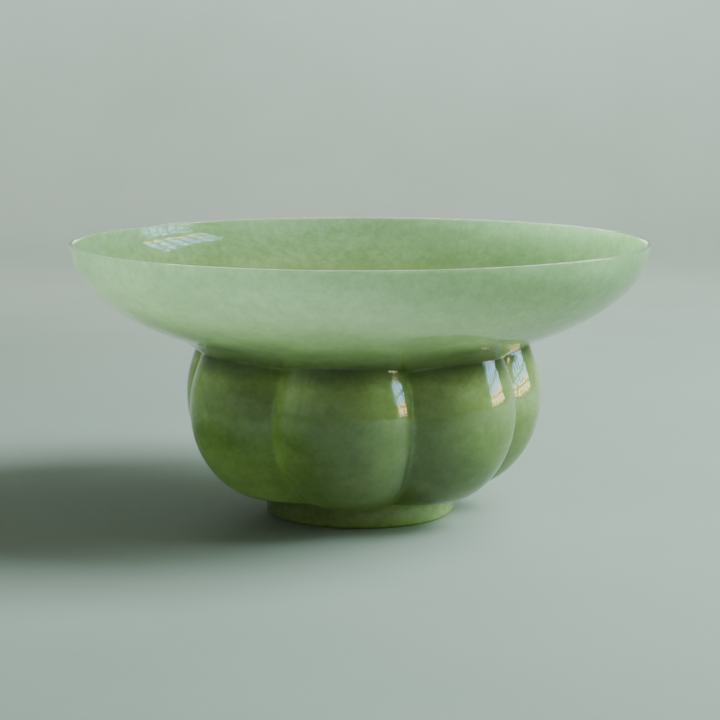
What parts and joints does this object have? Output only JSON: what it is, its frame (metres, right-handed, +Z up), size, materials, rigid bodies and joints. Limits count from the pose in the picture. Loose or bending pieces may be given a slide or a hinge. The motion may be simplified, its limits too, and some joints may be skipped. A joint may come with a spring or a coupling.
{
  "type": "art glass bowl",
  "caption": "Footed art glass bowl: a wide flared dish on a tight neck over a hollow lobed body and a ring foot, in opal green cased glass.",
  "frame": {"origin": "centre of the foot ring's underside, on the surface the bowl stands on", "axes": "+Z up along the bowl's axis; -Y through the crest of one lobe"},
  "size_m": [0.35, 0.35, 0.166],
  "materials": {
    "dish_clear_glass": "polished clear glass casing",
    "dish_opal_glass": "translucent opal green glass, thinner and paler in the flared dish",
    "body_clear_glass": "polished clear glass casing",
    "body_opal_glass": "translucent opal green glass, deeper where the wall is not lit through",
    "foot_glass": "polished opal green glass with a ground underside"
  },
  "bodies": {
    "root": {"dish_clear_casing": "dish_clear_glass", "dish_opal_lining": "dish_opal_glass", "body_clear_casing": "body_clear_glass", "body_opal_lining": "body_opal_glass", "foot_ring": "foot_glass"}
  },
  "joints": []
}
